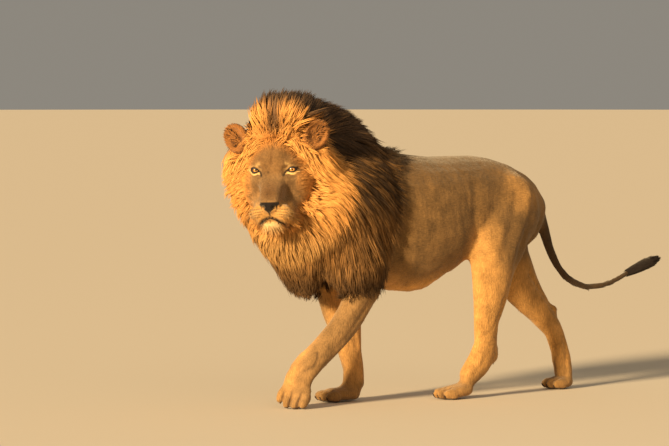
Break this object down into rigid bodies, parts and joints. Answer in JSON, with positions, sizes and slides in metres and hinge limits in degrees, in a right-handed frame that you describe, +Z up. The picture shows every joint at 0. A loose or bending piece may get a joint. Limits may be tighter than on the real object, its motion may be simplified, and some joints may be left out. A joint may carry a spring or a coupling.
{
  "type": "life-size lion model",
  "caption": "Life-size still model of a walking male lion, its head turned to its left, with a full mane, a tufted tail and paws that stand on the floor.",
  "frame": {"origin": "centre of the model's footprint box, on the floor it stands on", "axes": "+Y runs from the nose to the tail, so the lion walks towards -Y; +X is towards the lion's left; +Z is up"},
  "size_m": [0.6222, 2.4604, 1.3962],
  "materials": {
    "coat": "short flat tawny fur, paler on the throat, belly and insides of the legs",
    "ruff": "golden mane hair round the face",
    "mane": "long dark brown mane hair with golden streaks",
    "tuft": "near-black tail tuft",
    "eye": "amber glass eye",
    "nose": "bare dark nose pad"
  },
  "bodies": {
    "root": {"eye_left": "eye", "eye_right": "eye", "ear_left": "coat", "ear_right": "coat", "head": "coat", "nose": "nose", "jaw": "coat", "neck": "coat", "shoulders": "coat", "barrel": "coat", "rump": "coat", "foreleg_left_upper": "coat", "foreleg_left_lower": "coat", "forepaw_left": "coat", "foreleg_right_upper": "coat", "foreleg_right_lower": "coat", "forepaw_right": "coat", "thigh_left": "coat", "shank_left": "coat", "hock_left": "coat", "hindpaw_left": "coat", "thigh_right": "coat", "shank_right": "coat", "hock_right": "coat", "hindpaw_right": "coat", "tail_root": "coat", "tail_middle": "coat", "tail_end": "coat", "tail_tuft": "tuft", "mane_ruff": "ruff", "mane_crest": "mane", "mane_apron": "mane", "mane_left": "mane", "mane_right": "mane"}
  },
  "joints": []
}
